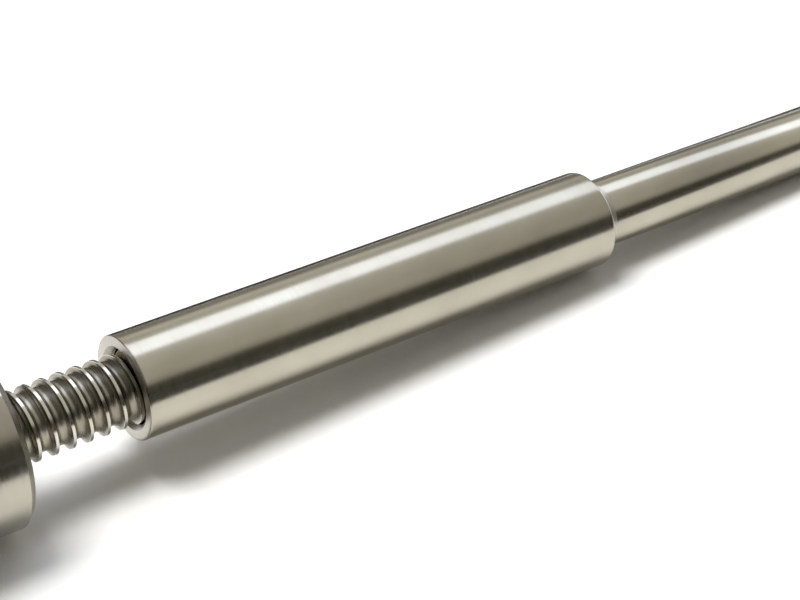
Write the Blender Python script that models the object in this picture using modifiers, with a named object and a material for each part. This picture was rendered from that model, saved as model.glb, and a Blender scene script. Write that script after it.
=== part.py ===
"""Ball screw assembly, 8 mm nominal diameter with 2 mm lead.

A hardened screw shaft turns in a fixed-end ball bearing at its left end. A flanged
ball nut runs on the thread with two closed ball circuits. Right of the thread the
shaft carries a pressed-on journal sleeve, and leaves it as a plain round rod.

The screw axis is world X and the origin is the centre of the support bearing.
Lengths are written in millimetres and turned into metres by MM.
"""

import math

import bmesh
import bpy
from mathutils import Matrix, Vector

MM = 0.001

# Screw thread
LEAD = 2.0
CREST_R = 4.1
BALL_R = 0.79
BALL_CENTRE_R = 4.15
SCREW_GROOVE_R = 0.83
SHAFT_SEGMENTS = 18
ROUND_SEGMENTS = 36
SCREW_FLANK = math.radians(75.0)
THREAD_TURNS = 37
HELIX_START = 9.03
THREAD_LEFT = 7.3
THREAD_RIGHT = 84.0

# Shaft ends
SHAFT_LEFT = -9.4
SEAT_R = 3.0
END_CHAMFER = 0.4
UNDERCUT_R = 3.3
UNDERCUT_LENGTH = 0.8
ROD_R = 4.2
ROD_RIGHT = 185.0
NECK_R = 3.7
NECK_LENGTH = 1.2
NECK_OVERLAP = 0.1

# Journal sleeve
SLEEVE_LEFT = 81.0
SLEEVE_LENGTH = 64.0
SLEEVE_R = 6.0
SLEEVE_BORE_R = 4.26
SLEEVE_COUNTERSINK_R = 4.8
SLEEVE_LIP = 0.15
SLEEVE_SHOULDER = 0.5
SHOULDER_STEPS = 3

# Ball nut
NUT_LEFT = 38.0
NUT_LENGTH = 28.0
NUT_R = 10.0
NUT_BORE_R = 4.55
NUT_CHAMFER = 0.8
FLANGE_R = 18.5
FLANGE_LENGTH = 6.0
FLANGE_FLAT = 12.0
FLANGE_CHAMFER = 0.4
BOLT_CIRCLE_R = 14.5
BOLT_HOLE_R = 2.25
BOLT_ANGLE = math.radians(30.0)
NUT_GROOVE_R = 0.95
CIRCUIT_STARTS = (math.tau * 19.25, math.tau * 22.75)
NUT_GROOVE_RUNOUT = math.pi / 2.0
CIRCUIT_BALLS = 13
CROSSOVER_HALF_ANGLE = math.radians(30.0)
CROSSOVER_LIFT = 0.9
CHANNEL_R = 0.95
DEFLECTOR_ROUND_R = 1.7
DEFLECTOR_STRAIGHT = 1.0
DEFLECTOR_GAP = 0.08
DEFLECTOR_TOP_R = 9.5
DEFLECTOR_SEGMENTS = 20
CHANNEL_POINTS = 7
BOLT_SEGMENTS = 20

# Wipers and their circlips, set in a counterbore at each end of the nut
WIPER_POCKET_R = 7.2
WIPER_POCKET_DEPTH = 3.2
WIPER_R = 7.1
WIPER_BORE_R = 4.3
WIPER_LENGTH = 2.0
WIPER_GAP = 0.05
CIRCLIP_GROOVE_R = 7.7
CIRCLIP_GROOVE_START = 0.4
CIRCLIP_GROOVE_WIDTH = 0.7
CIRCLIP_R = 7.6
CIRCLIP_INNER_R = 6.1
CIRCLIP_THICKNESS = 0.5
CIRCLIP_GAP = 3.0

# Grease port in the flange
PORT_X = NUT_LEFT + 4.4
PORT_R = 1.5
PORT_DEPTH = 4.0
PASSAGE_R = 0.6
PLUG_R = 1.4
PLUG_LENGTH = 3.0
PLUG_SLOT = 0.4

# Support bearing, 6 x 17 x 6 mm
BEARING_HALF = 3.0
RING_OUTER_R = 8.5
RING_OUTER_LAND_R = 6.6
RING_INNER_LAND_R = 4.9
RING_BORE_R = 3.05
RACE_R = 1.25
BEARING_BALL_R = 1.19
BEARING_PITCH_R = 5.75
BEARING_BALLS = 7
SHIELD_SEAT_R = 7.25
SHIELD_SEAT = 0.7
SHIELD_INNER_R = 5.1
SHIELD_R = 7.15
SHIELD_THICKNESS = 0.3
SHIELD_GAP = 0.1
RING_CHAMFER = 0.3
CAGE_OUTER_R = 6.25
CAGE_INNER_R = 5.25
CAGE_HALF = 1.75
POCKET_R = 1.32
RACE_STEPS = 4
BALL_RINGS = 4
BALL_SEGMENTS = 8

# Collar and lock nut of the bearing
COLLAR_LEFT = 3.2
COLLAR_LENGTH = 3.2
COLLAR_R = 4.7
LOCK_NUT_LEFT = -8.3
LOCK_NUT_LENGTH = 5.0
LOCK_NUT_R = 6.5
LOCK_NUT_SLOTS = 4
LOCK_SLOT_WIDTH = 2.4
LOCK_SLOT_DEPTH = 1.2
GRUB_R = 1.2
GRUB_HOLE_R = 1.3
GRUB_LENGTH = 2.8
GRUB_CLEARANCE = 0.1
GRUB_ANGLE = math.radians(45.0)
HEX_SOCKET_R = 0.6
HEX_SOCKET_DEPTH = 1.0

MERGE = 1e-6


def clear_scene():
    for obj in list(bpy.data.objects):
        bpy.data.objects.remove(obj, do_unlink=True)


def new_collection(name):
    collection = bpy.data.collections.new(name)
    bpy.context.scene.collection.children.link(collection)
    return collection


def new_material(name, colour, roughness, metallic):
    material = bpy.data.materials.new(name)
    material.use_nodes = True
    shader = material.node_tree.nodes["Principled BSDF"]
    shader.inputs["Base Color"].default_value = (*colour, 1.0)
    shader.inputs["Roughness"].default_value = roughness
    shader.inputs["Metallic"].default_value = metallic
    return material


def new_object(name, mesh, collection, material=None):
    obj = bpy.data.objects.new(name, mesh)
    collection.objects.link(obj)
    if material:
        mesh.materials.append(material)
    return obj


def shade(mesh):
    mesh.shade_smooth()
    mesh.set_sharp_from_angle(angle=math.radians(35.0))


def mesh_from(bm, name):
    bmesh.ops.recalc_face_normals(bm, faces=bm.faces)
    mesh = bpy.data.meshes.new(name)
    bm.to_mesh(mesh)
    bm.free()
    return mesh


def freeze(obj, collection):
    """A plain mesh object made from a curve or from an object with modifiers."""
    bpy.context.view_layer.update()
    graph = bpy.context.evaluated_depsgraph_get()
    mesh = bpy.data.meshes.new_from_object(obj.evaluated_get(graph))
    bm = bmesh.new()
    bm.from_mesh(mesh)
    bmesh.ops.remove_doubles(bm, verts=bm.verts, dist=MERGE)
    bm.to_mesh(mesh)
    bm.free()
    name = obj.name
    place = obj.matrix_world.copy()
    bpy.data.objects.remove(obj, do_unlink=True)
    solid = new_object(name, mesh, collection)
    solid.matrix_world = place
    return solid


def turned(name, profile, collection, material=None, segments=ROUND_SEGMENTS):
    """A closed (x, radius) profile in mm turned about X, its outer side from right to left.

    A profile that starts and ends on the axis is a solid, and any other one is a ring.
    """
    solid = profile[0][1] == 0.0
    mesh = bpy.data.meshes.new(name)
    points = [(x * MM, radius * MM, 0.0) for x, radius in profile]
    edges = [(i, i + 1) for i in range(len(points) - 1)]
    if not solid:
        edges.append((len(points) - 1, 0))
    mesh.from_pydata(points, edges, [])
    obj = new_object(name, mesh, collection, material)
    screw = obj.modifiers.new("turn", "SCREW")
    screw.axis = "X"
    screw.steps = segments
    screw.render_steps = segments
    screw.use_merge_vertices = True
    screw.merge_threshold = MERGE
    screw.use_smooth_shade = True
    return obj


def cylinder(name, radius, start, end, collection, material=None, segments=ROUND_SEGMENTS):
    """A solid round bar between two points, in mm."""
    run = Vector(end) - Vector(start)
    bm = bmesh.new()
    bmesh.ops.create_cone(
        bm,
        cap_ends=True,
        segments=segments,
        radius1=radius * MM,
        radius2=radius * MM,
        depth=run.length * MM,
    )
    obj = new_object(name, mesh_from(bm, name), collection, material)
    obj.rotation_euler = run.to_track_quat("Z", "Y").to_euler()
    obj.location = (Vector(start) + Vector(end)) * 0.5 * MM
    return obj


def box(name, low, high, collection):
    """A block between two corners, in mm."""
    bm = bmesh.new()
    bmesh.ops.create_cube(bm, size=1.0)
    size = [(b - a) * MM for a, b in zip(low, high)]
    bmesh.ops.scale(bm, vec=size, verts=bm.verts)
    obj = new_object(name, mesh_from(bm, name), collection)
    obj.location = [(a + b) * 0.5 * MM for a, b in zip(low, high)]
    return obj


def tube_along(name, points, radius, collection):
    """A closed round tube of a radius in mm along a path in mm."""
    curve = bpy.data.curves.new(name, "CURVE")
    curve.dimensions = "3D"
    curve.bevel_depth = radius * MM
    curve.bevel_resolution = 1
    curve.use_fill_caps = True
    spline = curve.splines.new("POLY")
    spline.points.add(len(points) - 1)
    for spot, point in zip(spline.points, points):
        spot.co = (*(Vector(point) * MM), 1.0)
    return freeze(new_object(name, curve, collection), collection)


def cut(obj, *cutters):
    for cutter in cutters:
        cutter.hide_render = True
        cutter.display_type = "WIRE"
        boolean = obj.modifiers.new("cut", "BOOLEAN")
        boolean.operation = "DIFFERENCE"
        boolean.solver = "EXACT"
        boolean.object = cutter


def around(angle, radius, x):
    """The point at an angle about X, counted from +Y towards +Z."""
    return (x, radius * math.cos(angle), radius * math.sin(angle))


def helix_x(angle):
    """Where the right-hand ball groove crosses an unwrapped angle."""
    return HELIX_START + LEAD * angle / math.tau


def groove_profile():
    """One pitch of the thread: a land, then a groove of three flats round the ball."""
    mouth_x = SCREW_GROOVE_R + (CREST_R - BALL_CENTRE_R) * math.cos(SCREW_FLANK)
    mouth_x /= math.sin(SCREW_FLANK)
    bottom_x = SCREW_GROOVE_R * math.tan(SCREW_FLANK / 2.0)
    bottom_r = BALL_CENTRE_R - SCREW_GROOVE_R
    return [
        (mouth_x - LEAD, CREST_R),
        (-mouth_x, CREST_R),
        (-bottom_x, bottom_r),
        (bottom_x, bottom_r),
        (mouth_x, CREST_R),
    ]


def close_thread(bm, end_angle, turn, plane_x):
    """Closes an open end of the helical surface with a flat round face at plane_x.

    end_angle is the unwrapped angle of the end and turn is 1 at the left end, where the
    rim climbs away from it, and -1 at the right end. Returns the flat face.
    """
    profile = groove_profile()[::turn]

    def vertex(angle, x, radius):
        spot = Vector(around(angle, radius, helix_x(angle) + x)) * MM
        return min(bm.verts, key=lambda v: (v.co - spot).length_squared)

    step = turn * math.tau / SHAFT_SEGMENTS
    rim = [
        vertex(end_angle + i * step, profile[0][0], CREST_R) for i in range(SHAFT_SEGMENTS)
    ]
    across = [vertex(end_angle, x, radius) for x, radius in profile]
    foot = [bm.verts.new((plane_x * MM, v.co.y, v.co.z)) for v in rim]
    for i in range(SHAFT_SEGMENTS - 1):
        bm.faces.new((rim[i], rim[i + 1], foot[i + 1], foot[i]))
    crests = [v for v, (_, radius) in zip(across, profile) if radius == CREST_R]
    seam = [*crests[::-1], foot[0], foot[-1]]
    for above, below in zip(seam, seam[1:]):
        bm.faces.new((rim[-1], above, below))
    bm.faces.new(across[1:] if turn > 0 else across[:-1])
    return bm.faces.new(foot)


def grow(bm, face, sections):
    """Lengthens a round bar from its end face through (x, radius) sections in mm."""
    for x, radius in sections:
        face = bmesh.ops.extrude_discrete_faces(bm, faces=[face])["faces"][0]
        for vert in face.verts:
            away = Vector((0.0, vert.co.y, vert.co.z)).normalized() * radius * MM
            vert.co = (x * MM, away.y, away.z)


def make_shaft(parts, steel):
    """The screw: seat, thread, undercut, sleeve seat, neck and rod in one piece."""
    mesh = bpy.data.meshes.new("screw_shaft")
    points = [((HELIX_START + x) * MM, radius * MM, 0.0) for x, radius in groove_profile()]
    mesh.from_pydata(points, [(i, i + 1) for i in range(len(points) - 1)], [])
    strip = new_object("screw_shaft", mesh, parts)
    screw = strip.modifiers.new("thread", "SCREW")
    screw.axis = "X"
    screw.screw_offset = LEAD * MM
    screw.iterations = THREAD_TURNS
    screw.steps = SHAFT_SEGMENTS
    screw.render_steps = SHAFT_SEGMENTS
    shaft = freeze(strip, parts)

    bm = bmesh.new()
    bm.from_mesh(shaft.data)
    left = close_thread(bm, 0.0, 1, THREAD_LEFT)
    right = close_thread(bm, math.tau * THREAD_TURNS, -1, THREAD_RIGHT)
    shoulder = THREAD_LEFT - END_CHAMFER
    grow(
        bm,
        left,
        [
            (shoulder, CREST_R - END_CHAMFER),
            (shoulder, SEAT_R),
            (SHAFT_LEFT + END_CHAMFER, SEAT_R),
            (SHAFT_LEFT, SEAT_R - END_CHAMFER),
        ],
    )
    seat = THREAD_RIGHT + UNDERCUT_LENGTH
    neck = SLEEVE_LEFT + SLEEVE_LENGTH - NECK_OVERLAP
    grow(
        bm,
        right,
        [
            (THREAD_RIGHT, UNDERCUT_R),
            (seat, UNDERCUT_R),
            (seat, ROD_R),
            (neck, ROD_R),
            (neck, NECK_R),
            (neck + NECK_LENGTH, NECK_R),
            (neck + NECK_LENGTH, ROD_R),
            (ROD_RIGHT - END_CHAMFER, ROD_R),
            (ROD_RIGHT, ROD_R - END_CHAMFER),
        ],
    )
    bmesh.ops.recalc_face_normals(bm, faces=bm.faces)
    bm.to_mesh(shaft.data)
    bm.free()
    shaft.data.materials.append(steel)
    shade(shaft.data)


def make_sleeve(parts, steel):
    right = SLEEVE_LEFT + SLEEVE_LENGTH
    countersink = SLEEVE_COUNTERSINK_R - SLEEVE_BORE_R
    shoulder = []
    for i in range(SHOULDER_STEPS + 1):
        angle = math.pi / 2.0 * i / SHOULDER_STEPS
        shoulder.append(
            (
                right - SLEEVE_SHOULDER * (1.0 - math.cos(angle)),
                SLEEVE_R - SLEEVE_SHOULDER * (1.0 - math.sin(angle)),
            )
        )
    turned(
        "journal_sleeve",
        [
            *shoulder,
            (SLEEVE_LEFT + SLEEVE_LIP, SLEEVE_R),
            (SLEEVE_LEFT, SLEEVE_R - SLEEVE_LIP),
            (SLEEVE_LEFT, SLEEVE_COUNTERSINK_R),
            (SLEEVE_LEFT + countersink, SLEEVE_BORE_R),
            (right, SLEEVE_BORE_R),
        ],
        parts,
        steel,
    )


def ball(name, radius, spot, mesh_name, collection, material, carrier):
    """A ball on its carrier, sharing one mesh with the other balls of its size."""
    mesh = bpy.data.meshes.get(mesh_name)
    if mesh is None:
        bm = bmesh.new()
        bmesh.ops.create_uvsphere(
            bm, u_segments=BALL_SEGMENTS, v_segments=BALL_RINGS, radius=radius * MM
        )
        mesh = mesh_from(bm, mesh_name)
        mesh.materials.append(material)
        shade(mesh)
    obj = bpy.data.objects.new(name, mesh)
    collection.objects.link(obj)
    obj.parent = carrier
    obj.location = Vector(spot) * MM


def carrier_on_axis(name, x, collection):
    """An empty on the screw axis that the pieces of one moving body hang from."""
    empty = bpy.data.objects.new(name, None)
    collection.objects.link(empty)
    empty.location = (x * MM, 0.0, 0.0)
    bpy.context.view_layer.update()
    return empty


def crossover_path(start):
    """From the end of a circuit's turn over the crest, back to the start of the turn."""
    points = []
    for i in range(CHANNEL_POINTS):
        along = 2.0 * i / (CHANNEL_POINTS - 1) - 1.0
        angle = start + along * CROSSOVER_HALF_ANGLE
        middle = helix_x(start) + LEAD / 2.0
        swing = LEAD / 2.0 * (1.0 - CROSSOVER_HALF_ANGLE / math.pi)
        lift = CROSSOVER_LIFT * math.cos(along * math.pi / 2.0) ** 2
        x = middle - swing * math.sin(along * math.pi / 2.0)
        points.append(around(angle, BALL_CENTRE_R + lift, x))
    return points


def stadium(name, round_r, start, low, high, collection, material=None):
    """An oblong plug that stands radially at a circuit's crossover, in mm."""
    bm = bmesh.new()
    bmesh.ops.create_cone(
        bm,
        cap_ends=True,
        segments=DEFLECTOR_SEGMENTS,
        radius1=round_r * MM,
        radius2=round_r * MM,
        depth=(high - low) * MM,
    )
    for vert in bm.verts:
        vert.co.x += math.copysign(DEFLECTOR_STRAIGHT * MM, vert.co.x)
    obj = new_object(name, mesh_from(bm, name), collection, material)
    obj.rotation_euler = (start - math.pi / 2.0, 0.0, 0.0)
    middle = around(start, (low + high) / 2.0, helix_x(start) + LEAD / 2.0)
    obj.location = Vector(middle) * MM
    return obj


def nut_profile():
    """The nut's section, its outer side from right to left and its bore back again."""
    right = NUT_LEFT + NUT_LENGTH
    flange = NUT_LEFT + FLANGE_LENGTH
    outer = [
        (right, NUT_R - NUT_CHAMFER),
        (right - NUT_CHAMFER, NUT_R),
        (flange, NUT_R),
        (flange, FLANGE_R - FLANGE_CHAMFER),
        (flange - FLANGE_CHAMFER, FLANGE_R),
        (NUT_LEFT + FLANGE_CHAMFER, FLANGE_R),
        (NUT_LEFT, FLANGE_R - FLANGE_CHAMFER),
    ]
    groove_end = CIRCLIP_GROOVE_START + CIRCLIP_GROOVE_WIDTH
    pocket = [
        (0.0, WIPER_POCKET_R),
        (CIRCLIP_GROOVE_START, WIPER_POCKET_R),
        (CIRCLIP_GROOVE_START, CIRCLIP_GROOVE_R),
        (groove_end, CIRCLIP_GROOVE_R),
        (groove_end, WIPER_POCKET_R),
        (WIPER_POCKET_DEPTH, WIPER_POCKET_R),
        (WIPER_POCKET_DEPTH, NUT_BORE_R),
    ]
    left_side = [(NUT_LEFT + depth, radius) for depth, radius in pocket]
    right_side = [(right - depth, radius) for depth, radius in pocket[::-1]]
    return [*outer, *left_side, *right_side]


def make_nut_body(parts, cutters, steel):
    nut = turned("nut_body", nut_profile(), parts, steel)
    flange = NUT_LEFT + FLANGE_LENGTH
    reach = 2.0 * FLANGE_R
    for side in (-1.0, 1.0):
        low, high = sorted((side * FLANGE_FLAT, side * reach))
        block = box("flat_cutter", (NUT_LEFT - 1.0, -reach, low), (flange, reach, high), cutters)
        cut(nut, block)
    for bolt in (BOLT_ANGLE, math.pi - BOLT_ANGLE, math.pi + BOLT_ANGLE, -BOLT_ANGLE):
        start = around(bolt, BOLT_CIRCLE_R, NUT_LEFT - 1.0)
        end = around(bolt, BOLT_CIRCLE_R, flange + 1.0)
        cut(nut, cylinder("bolt_cutter", BOLT_HOLE_R, start, end, cutters, segments=BOLT_SEGMENTS))

    port_end = FLANGE_FLAT - PORT_DEPTH
    top = (PORT_X, 0.0, FLANGE_FLAT + 1.0)
    port = cylinder("port_cutter", PORT_R, (PORT_X, 0.0, port_end), top, cutters, segments=16)
    passage = cylinder(
        "passage_cutter",
        PASSAGE_R,
        (PORT_X, 0.0, NUT_BORE_R - 1.0),
        (PORT_X, 0.0, port_end + 1.0),
        cutters,
        segments=8,
    )
    cut(nut, port, passage)

    first = CIRCUIT_STARTS[0] - NUT_GROOVE_RUNOUT
    last = CIRCUIT_STARTS[-1] + math.tau + NUT_GROOVE_RUNOUT
    steps = round((last - first) / math.tau * SHAFT_SEGMENTS)
    path_r = BALL_CENTRE_R / math.cos(math.pi / SHAFT_SEGMENTS)
    path = []
    for i in range(steps + 1):
        angle = first + (last - first) * i / steps
        path.append(around(angle, path_r, helix_x(angle)))
    cut(nut, tube_along("groove_cutter", path, NUT_GROOVE_R, cutters))
    for start in CIRCUIT_STARTS:
        round_r = DEFLECTOR_ROUND_R + DEFLECTOR_GAP
        cut(nut, stadium("pocket_cutter", round_r, start, BALL_CENTRE_R - 1.0, NUT_R + 1.0, cutters))
    shade(nut.data)


def make_deflectors(parts, cutters, plastic):
    for number, start in enumerate(CIRCUIT_STARTS, 1):
        plug = stadium(
            f"return_deflector_{number}",
            DEFLECTOR_ROUND_R,
            start,
            BALL_CENTRE_R - 1.0,
            DEFLECTOR_TOP_R,
            parts,
            plastic,
        )
        middle = helix_x(start)
        bore = cylinder(
            "deflector_bore_cutter",
            NUT_BORE_R,
            (middle - 2.0 * LEAD, 0.0, 0.0),
            (middle + 3.0 * LEAD, 0.0, 0.0),
            cutters,
        )
        cut(plug, bore, tube_along("channel_cutter", crossover_path(start), CHANNEL_R, cutters))
        shade(plug.data)


def make_nut_balls(parts, steel, carrier):
    for circuit, start in enumerate(CIRCUIT_STARTS, 1):
        loaded = math.tau - 2.0 * CROSSOVER_HALF_ANGLE
        for i in range(CIRCUIT_BALLS):
            angle = start + CROSSOVER_HALF_ANGLE + loaded * (i + 0.5) / CIRCUIT_BALLS
            x, y, z = around(angle, BALL_CENTRE_R, helix_x(angle))
            name = f"nut_ball_{circuit}_{i + 1:02d}"
            spot = (x - NUT_LEFT, y, z)
            ball(name, BALL_R, spot, "nut_ball", parts, steel, carrier)


def make_wipers(parts, cutters, rubber, steel):
    for side in ("left", "right"):
        face, inward = (NUT_LEFT, 1.0) if side == "left" else (NUT_LEFT + NUT_LENGTH, -1.0)
        bottom = face + inward * (WIPER_POCKET_DEPTH - WIPER_GAP)
        low, high = sorted((bottom, bottom - inward * WIPER_LENGTH))
        ring = [(high, WIPER_R), (low, WIPER_R), (low, WIPER_BORE_R), (high, WIPER_BORE_R)]
        turned(f"nut_wiper_{side}", ring, parts, rubber)

        outer = face + inward * (CIRCLIP_GROOVE_START + WIPER_GAP)
        low, high = sorted((outer, outer + inward * CIRCLIP_THICKNESS))
        ring = [(high, CIRCLIP_R), (low, CIRCLIP_R), (low, CIRCLIP_INNER_R), (high, CIRCLIP_INNER_R)]
        clip = turned(f"wiper_circlip_{side}", ring, parts, steel)
        half = CIRCLIP_GAP / 2.0
        corner = (low - 1.0, -half, -2.0 * CIRCLIP_R)
        cut(clip, box("circlip_gap_cutter", corner, (high + 1.0, half, 0.0), cutters))


def make_grease_plug(parts, cutters, steel):
    bottom = FLANGE_FLAT - PORT_DEPTH + WIPER_GAP
    top = bottom + PLUG_LENGTH
    ends = ((PORT_X, 0.0, bottom), (PORT_X, 0.0, top))
    plug = cylinder("grease_port_plug", PLUG_R, *ends, parts, steel, segments=16)
    low = (PORT_X - 2.0 * PLUG_R, -PLUG_SLOT / 2.0, top - PLUG_SLOT)
    high = (PORT_X + 2.0 * PLUG_R, PLUG_SLOT / 2.0, top + 1.0)
    cut(plug, box("plug_slot_cutter", low, high, cutters))


def race(land_r):
    """The arc of a raceway between two lands, from left to right."""
    half = math.acos((land_r - BEARING_PITCH_R) / RACE_R)
    if land_r < BEARING_PITCH_R:
        half = math.pi - half
    sign = math.copysign(1.0, land_r - BEARING_PITCH_R)
    points = []
    for i in range(RACE_STEPS + 1):
        angle = half * (2.0 * i / RACE_STEPS - 1.0)
        x = RACE_R * math.sin(angle)
        points.append((x, BEARING_PITCH_R + sign * RACE_R * math.cos(angle)))
    return points


def make_bearing(parts, cutters, steel, ball_steel, cage_metal):
    half = BEARING_HALF
    lip = half - SHIELD_SEAT
    edge = RING_OUTER_R - RING_CHAMFER
    turned(
        "bearing_outer_ring",
        [
            (half, edge),
            (half - RING_CHAMFER, RING_OUTER_R),
            (RING_CHAMFER - half, RING_OUTER_R),
            (-half, edge),
            (-half, SHIELD_SEAT_R),
            (-lip, SHIELD_SEAT_R),
            (-lip, RING_OUTER_LAND_R),
            *race(RING_OUTER_LAND_R),
            (lip, RING_OUTER_LAND_R),
            (lip, SHIELD_SEAT_R),
            (half, SHIELD_SEAT_R),
        ],
        parts,
        steel,
    )
    turned(
        "bearing_inner_ring",
        [
            (half, RING_INNER_LAND_R),
            *race(RING_INNER_LAND_R)[::-1],
            (-half, RING_INNER_LAND_R),
            (-half, RING_BORE_R),
            (half, RING_BORE_R),
        ],
        parts,
        steel,
    )
    for side, sign in (("left", -1.0), ("right", 1.0)):
        ends = (sign * (lip + SHIELD_GAP), sign * (lip + SHIELD_GAP + SHIELD_THICKNESS))
        low, high = sorted(ends)
        ring = [(high, SHIELD_R), (low, SHIELD_R), (low, SHIELD_INNER_R), (high, SHIELD_INNER_R)]
        turned(f"bearing_shield_{side}", ring, parts, steel)

    ring = [
        (CAGE_HALF, CAGE_OUTER_R),
        (-CAGE_HALF, CAGE_OUTER_R),
        (-CAGE_HALF, CAGE_INNER_R),
        (CAGE_HALF, CAGE_INNER_R),
    ]
    cage = turned("bearing_cage", ring, parts, cage_metal)
    carrier = carrier_on_axis("bearing_cage_axis", 0.0, parts)
    for i in range(BEARING_BALLS):
        angle = math.tau * i / BEARING_BALLS
        start = around(angle, RING_INNER_LAND_R - 1.0, 0.0)
        end = around(angle, RING_OUTER_LAND_R + 1.0, 0.0)
        cut(cage, cylinder("cage_pocket_cutter", POCKET_R, start, end, cutters, segments=16))
        spot = around(angle, BEARING_PITCH_R, 0.0)
        name = f"bearing_ball_{i + 1}"
        ball(name, BEARING_BALL_R, spot, "bearing_ball", parts, ball_steel, carrier)


def make_end_hardware(parts, cutters, steel, dark_steel):
    right = COLLAR_LEFT + COLLAR_LENGTH
    turned(
        "bearing_collar",
        [(right, COLLAR_R), (COLLAR_LEFT, COLLAR_R), (COLLAR_LEFT, RING_BORE_R), (right, RING_BORE_R)],
        parts,
        steel,
    )
    right = LOCK_NUT_LEFT + LOCK_NUT_LENGTH
    edge = LOCK_NUT_R - END_CHAMFER
    lock_nut = turned(
        "lock_nut",
        [
            (right, edge),
            (right - END_CHAMFER, LOCK_NUT_R),
            (LOCK_NUT_LEFT + END_CHAMFER, LOCK_NUT_R),
            (LOCK_NUT_LEFT, edge),
            (LOCK_NUT_LEFT, RING_BORE_R),
            (right, RING_BORE_R),
        ],
        parts,
        dark_steel,
    )
    half = LOCK_SLOT_WIDTH / 2.0
    for i in range(LOCK_NUT_SLOTS):
        low = (LOCK_NUT_LEFT - 1.0, -half, LOCK_NUT_R - LOCK_SLOT_DEPTH)
        slot = box("lock_slot_cutter", low, (right + 1.0, half, LOCK_NUT_R + 1.0), cutters)
        turn = Matrix.Rotation(math.tau * i / LOCK_NUT_SLOTS, 4, "X")
        slot.matrix_world = turn @ Matrix.Translation(slot.location)
        cut(lock_nut, slot)
    middle = LOCK_NUT_LEFT + LOCK_NUT_LENGTH / 2.0
    start = around(GRUB_ANGLE, SEAT_R - 1.0, middle)
    end = around(GRUB_ANGLE, LOCK_NUT_R + 1.0, middle)
    cut(lock_nut, cylinder("grub_hole_cutter", GRUB_HOLE_R, start, end, cutters, segments=16))

    foot = SEAT_R + GRUB_CLEARANCE
    head = foot + GRUB_LENGTH
    ends = (around(GRUB_ANGLE, foot, middle), around(GRUB_ANGLE, head, middle))
    grub = cylinder("lock_nut_grub_screw", GRUB_R, *ends, parts, dark_steel, segments=16)
    start = around(GRUB_ANGLE, head - HEX_SOCKET_DEPTH, middle)
    end = around(GRUB_ANGLE, head + 1.0, middle)
    cut(grub, cylinder("hex_socket_cutter", HEX_SOCKET_R, start, end, cutters, segments=6))


def main():
    clear_scene()
    parts = new_collection("ball_screw_assembly")
    cutters = new_collection("cutters")
    ground_steel = new_material("ground_steel", (0.62, 0.60, 0.56), 0.22, 1.0)
    thread_steel = new_material("thread_steel", (0.55, 0.53, 0.49), 0.28, 1.0)
    ball_steel = new_material("ball_steel", (0.75, 0.75, 0.74), 0.08, 1.0)
    spring_steel = new_material("spring_steel", (0.25, 0.25, 0.26), 0.4, 1.0)
    black_steel = new_material("black_steel", (0.06, 0.06, 0.065), 0.45, 1.0)
    brass = new_material("brass", (0.70, 0.52, 0.24), 0.35, 1.0)
    acetal = new_material("acetal", (0.86, 0.85, 0.80), 0.5, 0.0)
    wiper_polymer = new_material("wiper_polymer", (0.04, 0.04, 0.045), 0.6, 0.0)

    make_shaft(parts, thread_steel)
    make_sleeve(parts, ground_steel)
    make_nut_body(parts, cutters, ground_steel)
    make_deflectors(parts, cutters, acetal)
    make_nut_balls(parts, ball_steel, carrier_on_axis("nut_axis", NUT_LEFT, parts))
    make_wipers(parts, cutters, wiper_polymer, spring_steel)
    make_grease_plug(parts, cutters, black_steel)
    make_bearing(parts, cutters, ground_steel, ball_steel, brass)
    make_end_hardware(parts, cutters, ground_steel, black_steel)


main()
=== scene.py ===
"""Looks of the ball screw assembly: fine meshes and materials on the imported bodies.

The screw axis is world X through the origin. Lengths are in millimetres and are turned
into metres by MM, except in the studio at the end, which is in metres where nothing else
is said.
"""

import math

import bmesh
import bpy
from mathutils import Matrix, Vector


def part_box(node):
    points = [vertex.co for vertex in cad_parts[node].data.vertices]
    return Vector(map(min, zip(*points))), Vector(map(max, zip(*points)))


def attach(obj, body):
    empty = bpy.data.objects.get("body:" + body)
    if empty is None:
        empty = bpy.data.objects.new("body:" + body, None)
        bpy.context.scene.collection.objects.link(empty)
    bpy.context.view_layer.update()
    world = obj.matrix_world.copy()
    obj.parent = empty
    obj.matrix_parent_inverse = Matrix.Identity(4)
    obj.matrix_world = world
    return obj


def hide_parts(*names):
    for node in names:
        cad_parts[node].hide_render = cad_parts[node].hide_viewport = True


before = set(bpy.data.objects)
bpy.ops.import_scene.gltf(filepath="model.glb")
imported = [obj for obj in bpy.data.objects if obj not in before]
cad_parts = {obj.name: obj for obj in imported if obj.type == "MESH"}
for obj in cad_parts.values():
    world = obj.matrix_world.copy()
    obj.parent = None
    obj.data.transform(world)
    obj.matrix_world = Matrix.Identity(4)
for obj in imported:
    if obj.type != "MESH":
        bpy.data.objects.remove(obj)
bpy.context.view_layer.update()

MM = 0.001
TURN = math.tau

# Facets round a turned piece, metres within which two points are one, and how far a
# cutter passes the faces that it opens
ROUND = 128
WELD = 1e-6
PAST = 1.0

# Thread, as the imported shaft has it
LEAD = 2.0
THREAD_TURNS = 37
THREAD_STEPS = 72
HELIX_START = 9.03
END_MARGIN = LEAD * 0.75
RUNOUT_TURNS = 0.6
CREST_R = 4.1
CREST_EDGE = 0.045
BALL_CENTRE_R = 4.15
GROOVE_R = 0.83
GROOVE_HALF_ANGLE = math.radians(71.0)
GROOVE_STEPS = 10

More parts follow.
